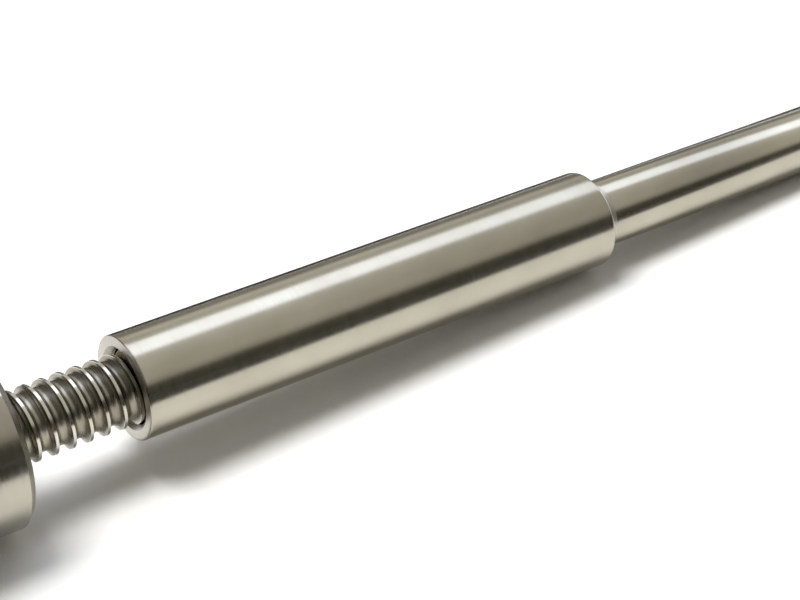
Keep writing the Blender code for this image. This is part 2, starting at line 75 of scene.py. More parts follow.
# Rest of the shaft, from its bearing seat to its rod; what is left of THREAD_LEFT and
# right of the sleeve's seat is ground
SEAT_R = 3.0
SHOULDER_X = 6.9
THREAD_LEFT = 7.1
THREAD_RIGHT = 84.55
UNDERCUT_R = 3.45
SLEEVE_SEAT_INSET = 4.1
NECK_R = 4.0
NECK_LENGTH = 1.75
SEAT_CENTRE_R = 1.15
SEAT_CENTRE_TIP_R = 0.2
SEAT_CENTRE_DEPTH = 0.95
ROD_CENTRE_R = 1.3
ROD_CENTRE_TIP_R = 0.25
ROD_CENTRE_DEPTH = 1.0

# Journal sleeve
SLEEVE_BORE_R = 4.26
SLEEVE_COUNTERSINK_R = 4.8
SLEEVE_LIP = 0.16
SLEEVE_SHOULDER = 0.4
SLEEVE_SHOULDER_STEPS = 6

# Ball nut
NUT_R = 10.0
NUT_CHAMFER = 0.8
NUT_BORE_R = 4.55
FLANGE_LENGTH = 6.0
FLANGE_CHAMFER = 0.4
RELIEF_WIDTH = 1.4
RELIEF_DEPTH = 0.15
BOLT_CIRCLE_R = 14.5
BOLT_HOLE_R = 2.25
BOLT_SINK = 0.4
BOLT_ANGLES = (30.0, 150.0, 210.0, 330.0)
POCKET_R = 7.2
POCKET_DEPTH = 3.2
POCKET_CHAMFER = 0.3
CIRCLIP_GROOVE_R = 7.7
CIRCLIP_GROOVE = (0.4, 1.1)
PORT_X = 4.4
PORT_R = 1.5
PORT_DEPTH = 4.0
PASSAGE_R = 0.6
PASSAGE_FOOT = 3.5

# Ball circuits, and the plugs that lift the balls over the crest
NUT_GROOVE_R = GROOVE_R + 0.02
CIRCUIT_STARTS = (TURN * 19.25, TURN * 22.75)
CIRCUIT_STEPS = 48
CROSSOVER_HALF_ANGLE = math.radians(30.0)
CROSSOVER_LIFT = 0.9
CROSSOVER_STEPS = 24
CHANNEL_R = 0.95
DEFLECTOR_ROUND_R = 1.7
DEFLECTOR_STRAIGHT = 1.0
DEFLECTOR_FOOT_R = BALL_CENTRE_R - 1.0
DEFLECTOR_TOP_R = 9.5
DEFLECTOR_GAP = 0.04
DEFLECTOR_BORE_REACH = 6.0
DIMPLE_R = 0.5

# Wipers, circlips and grease plug. A lug's angle is that of the point at LUG_Y from the
# middle of the gap and LUG_Y_INSET inside the rim; its axis is LUG_INSET inside the rim.
WIPER_LIP_R = 4.3
CIRCLIP_WIDTH = 1.25
CIRCLIP_HALF_GAP = 1.5
LUG_Y = 2.3
LUG_Y_INSET = 1.0
LUG_INSET = 1.2
LUG_R = 0.95
EYE_R = 0.42
PLUG_SLOT_HALF_WIDTH = 0.25
PLUG_SLOT_DEPTH = 0.7

# Support bearing, and the collar and lock nut beside it
BEARING_BALLS = 7
BEARING_PITCH_R = 5.75
RACE_R = 1.25
OUTER_LAND_R = 6.6
INNER_LAND_R = 4.9
BEARING_BORE_R = SEAT_R + 0.05
SHIELD_SEAT_R = 7.25
SHIELD_RECESS = 0.7
SHIELD_STEP = 0.12
SHIELD_RIM_R = 6.85
SHIELD_DISH_R = 6.2
SHIELD_BORE_R = 5.1
CAGE_BORE_R = 5.25
CAGE_POCKET_R = 1.3
CAGE_POCKET_SPAN = (3.9, 7.6)
LOCK_SLOTS = 4
LOCK_SLOT_HALF_WIDTH = 1.2
LOCK_SLOT_DEPTH = 1.2
LOCK_RECESS_R = 5.35
GRUB_ANGLE = math.radians(45.0)
GRUB_R = 1.2
GRUB_HOLE_R = 1.3
GRUB_HOLE_FOOT = 2.0
GRUB_SOCKET_R = 0.65
GRUB_FOOT = 3.1
GRUB_HEAD = 5.9

# Bodies that the pieces ride on
SCREW = "screw"
NUT = "nut"
HOUSING = "bearing_housing_side"
CAGE = "cage"


def span(node_name):
    """A node's lowest and highest corners, in mm."""
    low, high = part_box(node_name)
    return low / MM, high / MM


# ---------------------------------------------------------------- materials


# A Mix node's colour sockets, which share their names with its sockets of other kinds
MIX_A = 6
MIX_B = 7
MIX_RESULT = 2

ANISOTROPY = 0.5
ROUGHNESS_SWING = 0.05


def link(tree, source, target):
    tree.links.new(source, target)


def node(tree, kind, **values):
    made = tree.nodes.new(kind)
    for name, value in values.items():
        setattr(made, name, value)
    return made


def new_material(name, colour, roughness, metallic=1.0):
    material = bpy.data.materials.new(name)
    material.use_nodes = True
    shader = material.node_tree.nodes["Principled BSDF"]
    shader.inputs["Base Color"].default_value = (*colour, 1.0)
    shader.inputs["Roughness"].default_value = roughness
    shader.inputs["Metallic"].default_value = metallic
    return material, material.node_tree, shader


def noise(tree, stretch, detail=3.0, roughness=0.6):
    """Noise over object space; stretch is the count of features a metre along X, Y, Z."""
    place = node(tree, "ShaderNodeTexCoord")
    scaled = node(tree, "ShaderNodeMapping")
    scaled.inputs["Scale"].default_value = stretch
    link(tree, place.outputs["Object"], scaled.inputs["Vector"])
    made = node(tree, "ShaderNodeTexNoise")
    made.inputs["Scale"].default_value = 1.0
    made.inputs["Detail"].default_value = detail
    made.inputs["Roughness"].default_value = roughness
    link(tree, scaled.outputs["Vector"], made.inputs["Vector"])
    return made.outputs["Fac"]


def spread(tree, value, low, high, out_low, out_high):
    """A value's stretch from low to high, moved to out_low to out_high."""
    made = node(tree, "ShaderNodeMapRange")
    made.inputs["From Min"].default_value = low
    made.inputs["From Max"].default_value = high
    made.inputs["To Min"].default_value = out_low
    made.inputs["To Max"].default_value = out_high
    link(tree, value, made.inputs["Value"])
    return made.outputs["Result"]


def spread_noise(tree, value, out_low, out_high):
    """Noise, which keeps near its middle, moved to out_low to out_high."""
    return spread(tree, value, 0.3, 0.7, out_low, out_high)


def tint(tree, shader, value, dark, light):
    mix = node(tree, "ShaderNodeMix", data_type="RGBA")
    mix.inputs[MIX_A].default_value = (*dark, 1.0)
    mix.inputs[MIX_B].default_value = (*light, 1.0)
    link(tree, value, mix.inputs["Factor"])
    link(tree, mix.outputs[MIX_RESULT], shader.inputs["Base Color"])


def bump(tree, shader, value, depth_mm):
    made = node(tree, "ShaderNodeBump")
    made.inputs["Strength"].default_value = 1.0
    made.inputs["Distance"].default_value = depth_mm * MM
    link(tree, value, made.inputs["Height"])
    link(tree, made.outputs["Normal"], shader.inputs["Normal"])


def turned_metal(name, dark, light, roughness, rings_a_metre, depth_mm):
    """Metal ground or turned about X: fine rings and a slow change of tone."""
    material, tree, shader = new_material(name, light, roughness)
    shader.inputs["Anisotropic"].default_value = ANISOTROPY
    tangent = node(tree, "ShaderNodeTangent", direction_type="RADIAL", axis="X")
    link(tree, tangent.outputs["Tangent"], shader.inputs["Tangent"])
    rings = noise(tree, (rings_a_metre, 40.0, 40.0), detail=4.0, roughness=0.65)
    cloud = noise(tree, (120.0, 220.0, 220.0), detail=2.0, roughness=0.5)
    tint(tree, shader, spread_noise(tree, cloud, 0.0, 1.0), dark, light)
    rough = spread_noise(tree, rings, roughness - ROUGHNESS_SWING, roughness + ROUGHNESS_SWING)
    link(tree, rough, shader.inputs["Roughness"])
    bump(tree, shader, rings, depth_mm)
    return material


def grained_surface(name, dark, light, roughness, grains_a_metre, depth_mm, metallic=1.0):
    """A surface with an even fine grain, for pressed, blackened and moulded pieces."""
    material, tree, shader = new_material(name, light, roughness, metallic)
    speck = noise(tree, (grains_a_metre,) * 3, detail=5.0, roughness=0.7)
    cloud = noise(tree, (300.0, 300.0, 300.0), detail=2.0)
    tint(tree, shader, spread_noise(tree, cloud, 0.0, 1.0), dark, light)
    rough = spread_noise(tree, speck, roughness * 0.8, roughness * 1.25)
    link(tree, rough, shader.inputs["Roughness"])
    bump(tree, shader, speck, depth_mm)
    return material


# Each look's material name, dark tone, light tone, roughness, rings or grains a metre,
# their depth in mm and, where it isn't bare metal, its metallic share
TURNED_LOOKS = {
    # The thread's colour is darker than the crest's and the ground steel's. Its rougher rolled finish is
    # real, but the darker colour is painted shade in the grooves, and the crest's lighter colour is a
    # painted highlight on the crests.
    "thread": ("thread_steel", (0.26, 0.235, 0.185), (0.40, 0.37, 0.30), 0.27, 4200.0, 0.002),
    "crest": ("crest_steel_with_painted_highlight", (0.50, 0.475, 0.41), (0.66, 0.635, 0.565), 0.16, 4200.0, 0.001),
    "ground": ("ground_steel", (0.42, 0.39, 0.315), (0.48, 0.45, 0.37), 0.17, 5200.0, 0.0006),
    "turned": ("turned_steel", (0.52, 0.49, 0.43), (0.60, 0.57, 0.51), 0.34, 3000.0, 0.0015),
    "nut": ("nut_steel", (0.40, 0.375, 0.31), (0.47, 0.44, 0.37), 0.19, 3600.0, 0.0008),
    "bearing": ("bearing_steel", (0.58, 0.58, 0.57), (0.68, 0.68, 0.67), 0.13, 6500.0, 0.0004),
    "brass": ("cage_brass", (0.62, 0.45, 0.20), (0.78, 0.60, 0.30), 0.27, 3200.0, 0.0012),
}
GRAINED_LOOKS = {
    "ball": ("ball_steel", (0.70, 0.70, 0.69), (0.80, 0.80, 0.79), 0.06, 9000.0, 0.0001),
    "shield": ("shield_steel", (0.60, 0.59, 0.56), (0.70, 0.69, 0.66), 0.28, 7000.0, 0.0006),
    "spring": ("spring_steel", (0.16, 0.16, 0.17), (0.26, 0.26, 0.27), 0.38, 9000.0, 0.0012),
    "black": ("black_steel", (0.035, 0.035, 0.04), (0.08, 0.08, 0.085), 0.36, 8000.0, 0.0015, 0.8),
    "acetal": ("acetal", (0.80, 0.79, 0.74), (0.88, 0.87, 0.83), 0.45, 6000.0, 0.001, 0.0),
    "wiper": ("wiper_polymer", (0.025, 0.025, 0.028), (0.06, 0.06, 0.065), 0.5, 7000.0, 0.002, 0.0),
}
MATERIALS = {look: turned_metal(*values) for look, values in TURNED_LOOKS.items()}
MATERIALS.update({look: grained_surface(*values) for look, values in GRAINED_LOOKS.items()})


# ---------------------------------------------------------------- mesh helpers


def new_object(name, data, look=None):
    obj = bpy.data.objects.new(name, data)
    bpy.context.scene.collection.objects.link(obj)
    if look:
        data.materials.append(MATERIALS[look])
    return obj


def piece(obj, body, look, *nodes):
    """Puts a finished piece on its body, in place of its CAD nodes."""
    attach(obj, body)
    if nodes:
        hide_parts(*nodes)


def shade(mesh, degrees=30.0):
    """Smooth shading, with sharp edges where faces meet at more than an angle."""
    mesh.shade_smooth()
    mesh.set_sharp_from_angle(angle=math.radians(degrees))


def bake(obj):
    """Applies an object's modifiers."""
    bpy.context.view_layer.update()
    graph = bpy.context.evaluated_depsgraph_get()
    mesh = bpy.data.meshes.new_from_object(obj.evaluated_get(graph))
    obj.modifiers.clear()
    obj.data = mesh


def mesh_from(bm, name):
    """A mesh made of an edit mesh, which is freed."""
    bmesh.ops.recalc_face_normals(bm, faces=bm.faces)
    mesh = bpy.data.meshes.new(name)
    bm.to_mesh(mesh)
    bm.free()
    return mesh


def turned(name, profile, look=None, segments=ROUND):
    """A closed (x, radius) profile in mm turned about X, its outer side from right to left."""
    mesh = bpy.data.meshes.new(name)
    points = [(x * MM, radius * MM, 0.0) for x, radius in profile]
    edges = [(i, (i + 1) % len(points)) for i in range(len(points))]
    mesh.from_pydata(points, edges, [])
    obj = new_object(name, mesh)
    screw = obj.modifiers.new("turn", "SCREW")
    screw.axis = "X"
    screw.steps = segments
    screw.render_steps = segments
    screw.use_merge_vertices = True
    screw.merge_threshold = WELD
    bake(obj)
    if look:
        obj.data.materials.append(MATERIALS[look])
    shade(obj.data)
    return obj


def cylinder(name, radius, start, end, segments=48, tip=None):
    """A round bar between two points in mm, which may taper to another radius."""
    run = Vector(end) - Vector(start)
    bm = bmesh.new()
    bmesh.ops.create_cone(
        bm,
        cap_ends=True,
        segments=segments,
        radius1=radius * MM,
        radius2=(radius if tip is None else tip) * MM,
        depth=run.length * MM,
    )
    turn = run.to_track_quat("Z", "Y").to_matrix().to_4x4()
    middle = (Vector(start) + Vector(end)) * 0.5 * MM
    bmesh.ops.transform(bm, matrix=Matrix.Translation(middle) @ turn, verts=bm.verts)
    return new_object(name, mesh_from(bm, name))


def block(name, low, high):
    """A box between two corners in mm."""
    bm = bmesh.new()
    bmesh.ops.create_cube(bm, size=1.0)
    size = [(b - a) * MM for a, b in zip(low, high)]
    bmesh.ops.scale(bm, vec=size, verts=bm.verts)
    middle = [(a + b) * 0.5 * MM for a, b in zip(low, high)]
    bmesh.ops.translate(bm, vec=middle, verts=bm.verts)
    return new_object(name, mesh_from(bm, name))


def combine(obj, operation, tools):
    """Joins shapes to a piece or cuts them out of it, and removes them."""
    for tool in tools:
        boolean = obj.modifiers.new("combine", "BOOLEAN")
        boolean.operation = operation
        boolean.solver = "EXACT"
        boolean.object = tool
    bake(obj)
    for tool in tools:
        bpy.data.objects.remove(tool, do_unlink=True)


def cut(obj, *cutters):
    combine(obj, "DIFFERENCE", cutters)


def soften(obj, width_mm, segments=2):
    """Breaks the sharp edges of a piece as a deburring pass does."""
    bevel = obj.modifiers.new("edge", "BEVEL")
    bevel.width = width_mm * MM
    bevel.segments = segments
    bevel.limit_method = "ANGLE"
    bevel.angle_limit = math.radians(35.0)
    bevel.harden_normals = False
    bake(obj)
    shade(obj.data)


def around(angle, radius, x):
    """The point at an angle about X, counted from +Y towards +Z, in its radius's unit."""
    return (x, radius * math.cos(angle), radius * math.sin(angle))


def helix_x(angle):
    """How far along the screw its ball groove is after an angle, in mm."""
    return HELIX_START + LEAD * angle / TURN


# ---------------------------------------------------------------- screw shaft


def thread_profile():
    """One pitch as (x, depth below the crest), from one land's middle to the next."""
    arc = []
    for i in range(GROOVE_STEPS + 1):
        angle = GROOVE_HALF_ANGLE * (2.0 * i / GROOVE_STEPS - 1.0)
        x = GROOVE_R * math.sin(angle)
        arc.append((x, CREST_R - BALL_CENTRE_R + GROOVE_R * math.cos(angle)))
    edge_x, edge_depth = arc[-1]
    rounding = [(edge_x + CREST_EDGE * 0.35, edge_depth * 0.35), (edge_x + CREST_EDGE, 0.0)]
    left = [(-x, depth) for x, depth in rounding[::-1]]
    return [(-LEAD / 2.0, 0.0), *left, *arc, *rounding, (LEAD / 2.0, 0.0)]


def thread_body(bm):
    """The helical surface with run-outs, closed by a flat round face at each end."""
    profile = thread_profile()
    total = THREAD_TURNS * THREAD_STEPS
    fade = RUNOUT_TURNS * THREAD_STEPS
    rows = []
    for i in range(total + 1):
        angle = TURN * i / THREAD_STEPS
        scale = min(1.0, min(i, total - i) / fade) ** 0.5
        row = []
        for j, (x, depth) in enumerate(profile):
            if j == 0 and i >= THREAD_STEPS:
                row.append(rows[i - THREAD_STEPS][-1])
                continue
            spot = Vector(around(angle, CREST_R - depth * scale, helix_x(angle) + x)) * MM
            row.append(bm.verts.new(spot))
        rows.append(row)
    for low, high in zip(rows, rows[1:]):
        for j in range(len(profile) - 1):
            bm.faces.new((low[j], high[j], high[j + 1], low[j + 1]))

    # A cuff leads from the helix's last turn to a flat end; a fan closes the helix's step
    left_rim = [row[0] for row in rows[:THREAD_STEPS]]
    right_rim = [row[-1] for row in rows[: -THREAD_STEPS - 1 : -1]]
    left_x = HELIX_START - END_MARGIN
    right_x = helix_x(TURN * THREAD_TURNS) + END_MARGIN
    ends = []
    for rim, step, plane in ((left_rim, rows[0][::-1], left_x), (right_rim, rows[-1], right_x)):
        foot = [bm.verts.new((plane * MM, vert.co.y, vert.co.z)) for vert in rim]
        for i in range(THREAD_STEPS - 1):
            bm.faces.new((rim[i], rim[i + 1], foot[i + 1], foot[i]))
        fan = [*step, foot[0], foot[-1]]
        for above, below in zip(fan, fan[1:]):
            bm.faces.new((rim[-1], above, below))
        ends.append(bm.faces.new(foot))
    return ends


def grow(bm, face, sections):
    """Lengthens a round bar from its end face through (x, radius) sections in mm."""
    for x, radius in sections:
        face = bmesh.ops.extrude_discrete_faces(bm, faces=[face])["faces"][0]
        for vert in face.verts:
            away = Vector((0.0, vert.co.y, vert.co.z)).normalized() * radius * MM
            vert.co = (x * MM, away.y, away.z)


def make_shaft():
    low, high = span("screw_shaft")
    sleeve_low, sleeve_high = span("journal_sleeve")
    rod_r = high.y
    bm = bmesh.new()
    left, right = thread_body(bm)
    grow(
        bm,
        left,
        [
            (SHOULDER_X + 0.45, CREST_R),
            (SHOULDER_X + 0.35, CREST_R - 0.03),
            (SHOULDER_X + 0.03, CREST_R - 0.36),
            (SHOULDER_X, CREST_R - 0.42),
            (SHOULDER_X, SEAT_R + 0.25),
            (SHOULDER_X - 0.06, SEAT_R + 0.06),
            (SHOULDER_X - 0.2, SEAT_R),
            (low.x + 0.45, SEAT_R),
            (low.x + 0.38, SEAT_R - 0.03),
            (low.x + 0.02, SEAT_R - 0.38),
            (low.x, SEAT_R - 0.44),
            (low.x, SEAT_CENTRE_R),
            (low.x + SEAT_CENTRE_DEPTH, SEAT_CENTRE_TIP_R),
        ],
    )
    seat = sleeve_low.x + SLEEVE_SEAT_INSET
    neck = sleeve_high.x - 0.05
    neck_end = neck + NECK_LENGTH
    grow(
        bm,
        right,
        [
            (THREAD_RIGHT - 0.1, CREST_R),
            (THREAD_RIGHT, CREST_R - 0.1),
            (THREAD_RIGHT + 0.25, UNDERCUT_R + 0.05),
            (seat - 0.15, UNDERCUT_R),
            (seat, UNDERCUT_R + 0.15),
            (seat + 0.02, rod_r - 0.1),
            (seat + 0.12, rod_r),
            (neck, rod_r),
            (neck + 0.1, NECK_R + 0.03),
            (neck + 0.25, NECK_R),
            (neck_end - 0.6, NECK_R),
            (neck_end - 0.5, NECK_R + 0.02),
            (neck_end, rod_r - 0.02),
            (neck_end + 0.1, rod_r),
            (high.x - 0.5, rod_r),
            (high.x - 0.42, rod_r - 0.03),
            (high.x - 0.04, rod_r - 0.4),
            (high.x, rod_r - 0.5),
            (high.x, ROD_CENTRE_R),
            (high.x - ROD_CENTRE_DEPTH, ROD_CENTRE_TIP_R),
        ],
    )
    shaft = new_object("shaft", mesh_from(bm, "shaft"), "thread")
    shade(shaft.data, 40.0)
    for look in ("ground", "crest", "turned"):
        shaft.data.materials.append(MATERIALS[look])
    ground, crest, turned_face = 1, 2, 3
    # Faces at the thread's outer edge take the lighter crest tone, and the rest of the thread the darker
    # one: a painted highlight on the crests and painted shade in the grooves.
    for face in shaft.data.polygons:
        x = face.center.x / MM
        nearest = min(shaft.data.vertices[i].co.yz.length for i in face.vertices) / MM
        if neck < x < neck_end:
            face.material_index = turned_face
        elif x < THREAD_LEFT or x > seat:
            face.material_index = ground
        elif nearest > CREST_R - 0.1:
            face.material_index = crest
    piece(shaft, SCREW, "thread", "screw_shaft")


def make_sleeve():
    """The sleeve: ground outside, with end faces and a countersink left as turned."""
    low, high = span("journal_sleeve")
    radius = high.y
    countersink = SLEEVE_COUNTERSINK_R - SLEEVE_BORE_R
    shoulder = []
    for i in range(SLEEVE_SHOULDER_STEPS + 1):
        angle = TURN / 4.0 * i / SLEEVE_SHOULDER_STEPS
        along = SLEEVE_SHOULDER * (1.0 - math.cos(angle))
        inward = SLEEVE_SHOULDER * (1.0 - math.sin(angle))
        shoulder.append((high.x - along, radius - inward))
    profile = [
        (high.x, SLEEVE_BORE_R + 0.1),
        *shoulder,
        (high.x - SLEEVE_SHOULDER - 0.3, radius),
        (low.x + SLEEVE_LIP + 0.3, radius),
        (low.x + SLEEVE_LIP, radius),
        (low.x + SLEEVE_LIP * 0.3, radius - SLEEVE_LIP * 0.3),
        (low.x, radius - SLEEVE_LIP),
        (low.x, radius - SLEEVE_LIP - 0.2),
        (low.x, SLEEVE_COUNTERSINK_R + 0.03),
        (low.x + 0.02, SLEEVE_COUNTERSINK_R),
        (low.x + countersink, SLEEVE_BORE_R + 0.02),
        (low.x + countersink + 0.05, SLEEVE_BORE_R),
        (high.x - 0.1, SLEEVE_BORE_R),
    ]
    sleeve = turned("sleeve", profile, "ground", 160)
    sleeve.data.materials.append(MATERIALS["turned"])
    for face in sleeve.data.polygons:
        if abs(face.normal.x) > 0.6:
            face.material_index = 1
    piece(sleeve, SCREW, "ground", "journal_sleeve")


# ---------------------------------------------------------------- ball nut


def tube_along(name, points, radius):
    """A closed round tube of a radius in mm along a path in mm."""
    curve = bpy.data.curves.new(name, "CURVE")
    curve.dimensions = "3D"
    curve.bevel_depth = radius * MM
    curve.bevel_resolution = 4
    curve.use_fill_caps = True
    spline = curve.splines.new("POLY")
    spline.points.add(len(points) - 1)
    for spot, point in zip(spline.points, points):
        spot.co = (*(Vector(point) * MM), 1.0)
    source = new_object(name, curve)
    bpy.context.view_layer.update()
    graph = bpy.context.evaluated_depsgraph_get()
    bm = bmesh.new()
    bm.from_mesh(bpy.data.meshes.new_from_object(source.evaluated_get(graph)))
    bmesh.ops.remove_doubles(bm, verts=bm.verts, dist=WELD)
    bpy.data.objects.remove(source, do_unlink=True)
    return new_object(name, mesh_from(bm, name))


def stadium(name, round_r, start, low, high):
    """An oblong plug, long along X, that stands radially at a ball circuit's crossover."""
    bm = bmesh.new()
    bmesh.ops.create_cone(
        bm,
        cap_ends=True,
        segments=64,
        radius1=round_r * MM,
        radius2=round_r * MM,
        depth=(high - low) * MM,
    )
    for vert in bm.verts:
        vert.co.x += math.copysign(DEFLECTOR_STRAIGHT * MM, vert.co.x)
    middle = Vector(around(start, (low + high) / 2.0, helix_x(start) + LEAD / 2.0)) * MM
    turn = Matrix.Rotation(start - TURN / 4.0, 4, "X")
    bmesh.ops.transform(bm, matrix=Matrix.Translation(middle) @ turn, verts=bm.verts)
    return new_object(name, mesh_from(bm, name))


def turned_nut(low, high, flange, flange_r):
    """The nut before its cuts: body, flange, and a wiper pocket at each end."""
    groove_near, groove_far = CIRCLIP_GROOVE
    pocket = [
        (0.0, POCKET_R + POCKET_CHAMFER),
        (POCKET_CHAMFER, POCKET_R),
        (groove_near, POCKET_R),
        (groove_near, CIRCLIP_GROOVE_R),
        (groove_far, CIRCLIP_GROOVE_R),
        (groove_far, POCKET_R),
        (POCKET_DEPTH, POCKET_R),
        (POCKET_DEPTH, NUT_BORE_R + 0.2),
        (POCKET_DEPTH + 0.2, NUT_BORE_R),
    ]
    profile = [
        (high.x, NUT_R - NUT_CHAMFER),
        (high.x - NUT_CHAMFER, NUT_R),
        (flange + RELIEF_WIDTH, NUT_R),
        (flange + RELIEF_WIDTH - 0.2, NUT_R - RELIEF_DEPTH),
        (flange + RELIEF_DEPTH, NUT_R - RELIEF_DEPTH),
        (flange, NUT_R),
        (flange, flange_r - FLANGE_CHAMFER),
        (flange - FLANGE_CHAMFER, flange_r),
        (low.x + FLANGE_CHAMFER, flange_r),
        (low.x, flange_r - FLANGE_CHAMFER),
        *[(low.x + depth, radius) for depth, radius in pocket],
        *[(high.x - depth, radius) for depth, radius in pocket[::-1]],
    ]
    return turned("ball_nut", profile)


def flange_cutters(low, flange, flat):
    """The flange's two flats and its countersunk bolt holes."""
    cutters = []
    wide = 4.0 * NUT_R
    for side in (-1.0, 1.0):
        near, far = sorted((side * flat, side * 3.0 * flat))
        cutters.append(block("flat", (low.x - PAST, -wide, near), (flange, wide, far)))
    proud = 0.05
    for bolt in BOLT_ANGLES:
        angle = math.radians(bolt)
        start = around(angle, BOLT_CIRCLE_R, low.x - PAST)
        end = around(angle, BOLT_CIRCLE_R, flange + PAST)
        cutters.append(cylinder("bolt", BOLT_HOLE_R, start, end))
        for x, inward in ((low.x, 1.0), (flange, -1.0)):
            mouth = around(angle, BOLT_CIRCLE_R, x - inward * proud)
            depth = around(angle, BOLT_CIRCLE_R, x + inward * (BOLT_SINK - proud))
            cutters.append(cylinder("sink", BOLT_HOLE_R + BOLT_SINK, mouth, depth, tip=BOLT_HOLE_R))
    return cutters


def port_cutters(low, flat):
    """The grease port in the upper flat, and the passage from its foot to the bore."""
    x = low.x + PORT_X
    bottom = flat - PORT_DEPTH
    port = cylinder("port", PORT_R, (x, 0.0, bottom), (x, 0.0, flat + PAST))
    passage = cylinder("passage", PASSAGE_R, (x, 0.0, PASSAGE_FOOT), (x, 0.0, bottom + 0.5), 24)
    return [port, passage]


def groove_cutter():
    """The nut's ball groove: a helical tube through both circuits and a little past them."""
    first = CIRCUIT_STARTS[0] - TURN / 4.0
    last = CIRCUIT_STARTS[1] + TURN * 1.25
    steps = round((last - first) / TURN * CIRCUIT_STEPS)
    path = []
    for i in range(steps + 1):
        angle = first + (last - first) * i / steps
        path.append(around(angle, BALL_CENTRE_R, helix_x(angle)))
    return tube_along("groove", path, NUT_GROOVE_R)


def make_nut():
    low, high = span("nut_body")
    flange_r, flat = high.y, high.z
    flange = low.x + FLANGE_LENGTH
    nut = turned_nut(low, high, flange, flange_r)
    cutters = [*flange_cutters(low, flange, flat), *port_cutters(low, flat), groove_cutter()]
    wall = DEFLECTOR_ROUND_R + DEFLECTOR_GAP
    for start in CIRCUIT_STARTS:
        cutters.append(stadium("pocket", wall, start, DEFLECTOR_FOOT_R, NUT_R + PAST))
    cut(nut, *cutters)
    nut.data.materials.append(MATERIALS["nut"])
    soften(nut, 0.1)
    piece(nut, NUT, "nut", "nut_body")


def make_deflectors():
    """Oblong plugs with a channel that lifts the balls back over the thread's crest."""
    for number, start in enumerate(CIRCUIT_STARTS, 1):
        name = f"deflector_{number}"
        plug = stadium(name, DEFLECTOR_ROUND_R, start, DEFLECTOR_FOOT_R, DEFLECTOR_TOP_R)
        soften(plug, 0.15)
        middle = helix_x(start) + LEAD / 2.0
        bore_ends = [(middle + side * DEFLECTOR_BORE_REACH, 0.0, 0.0) for side in (-1.0, 1.0)]
        bore = cylinder("bore", NUT_BORE_R, *bore_ends, ROUND)
        swing = LEAD / 2.0 * (1.0 - CROSSOVER_HALF_ANGLE / math.pi)
        path = []
        for i in range(CROSSOVER_STEPS + 1):
            along = 2.0 * i / CROSSOVER_STEPS - 1.0
            lift = CROSSOVER_LIFT * math.cos(along * TURN / 4.0) ** 2
            x = middle - swing * math.sin(along * TURN / 4.0)
            path.append(around(start + along * CROSSOVER_HALF_ANGLE, BALL_CENTRE_R + lift, x))
        channel = tube_along("channel", path, CHANNEL_R)
        dimple_foot = around(start, DEFLECTOR_TOP_R - DIMPLE_R, middle)
        dimple_top = around(start, DEFLECTOR_TOP_R + DIMPLE_R, middle)
        dimple = cylinder("dimple", DIMPLE_R, dimple_foot, dimple_top, 32)
        cut(plug, bore, channel, dimple)
        plug.data.materials.append(MATERIALS["acetal"])
        shade(plug.data)
        piece(plug, NUT, "acetal", f"return_deflector_{number}")


def make_ball(node_name, body, detail):
    """A smooth ball in place of a coarse one, at the coarse one's centre and size."""
    name = f"fine_{node_name}"
    low, high = span(node_name)
    bm = bmesh.new()
    radius = max(high - low) / 2.0
    bmesh.ops.create_icosphere(bm, subdivisions=detail, radius=radius * MM)
    bmesh.ops.translate(bm, vec=(low + high) * 0.5 * MM, verts=bm.verts)
    ball = new_object(name, mesh_from(bm, name), "ball")
    ball.data.shade_smooth()
    piece(ball, body, "ball", node_name)


def make_balls():
    for node_name in sorted(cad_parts):
        if node_name.startswith("nut_ball_"):
            make_ball(node_name, NUT, 3)
        if node_name.startswith("bearing_ball_"):
            make_ball(node_name, CAGE, 4)


def make_wipers():
    """Polymer rings with two thin lips that ride just clear of the thread."""
    for side, inward in (("left", 1.0), ("right", -1.0)):
        low, high = span(f"nut_wiper_{side}")
        face = low.x if inward > 0.0 else high.x
        back = face + inward * (high.x - low.x)
        radius = high.y
        ring = [
            (back, radius - 0.15),
            (back - inward * 0.15, radius),
            (face + inward * 0.15, radius),
            (face, radius - 0.15),
            (face, radius - 0.7),
            (face + inward * 0.35, radius - 0.9),
            (face + inward * 0.35, WIPER_LIP_R + 1.0),
            (face + inward * 0.1, WIPER_LIP_R + 0.35),
            (face + inward * 0.15, WIPER_LIP_R),
            (face + inward * 0.35, WIPER_LIP_R),
            (face + inward * 0.7, WIPER_LIP_R + 0.5),
            (back - inward * 0.7, WIPER_LIP_R + 0.5),
            (back - inward * 0.35, WIPER_LIP_R),
            (back - inward * 0.1, WIPER_LIP_R),
            (back, WIPER_LIP_R + 0.3),
        ]
        wiper = turned(f"wiper_{side}", ring, "wiper")
        piece(wiper, NUT, "wiper", f"nut_wiper_{side}")


def make_circlips():
    """Internal circlips: a ring open at the bottom, with an eyed lug each side of its gap."""
    for side in ("left", "right"):
        node_name = f"wiper_circlip_{side}"
        low, high = span(node_name)
        outer = high.y
        inner = outer - CIRCLIP_WIDTH
        clip = turned(f"circlip_{side}", [(high.x, outer), (low.x, outer), (low.x, inner), (high.x, inner)])
        gap_low = (low.x - PAST, -CIRCLIP_HALF_GAP, -2.0 * outer)
        gap_high = (high.x + PAST, CIRCLIP_HALF_GAP, 0.0)
        cut(clip, block("gap", gap_low, gap_high))
        lugs = []
        eyes = []
        for lug_y in (-LUG_Y, LUG_Y):
            angle = -math.acos(lug_y / (outer - LUG_Y_INSET))
            lug_ends = [around(angle, outer - LUG_INSET, x) for x in (low.x, high.x)]
            eye_ends = [around(angle, inner, x) for x in (low.x - PAST, high.x + PAST)]
            lugs.append(cylinder("lug", LUG_R, *lug_ends))
            eyes.append(cylinder("eye", EYE_R, *eye_ends))
        combine(clip, "UNION", lugs)
        cut(clip, *eyes)
        clip.data.materials.append(MATERIALS["spring"])
        soften(clip, 0.04, 1)
        piece(clip, NUT, "spring", node_name)


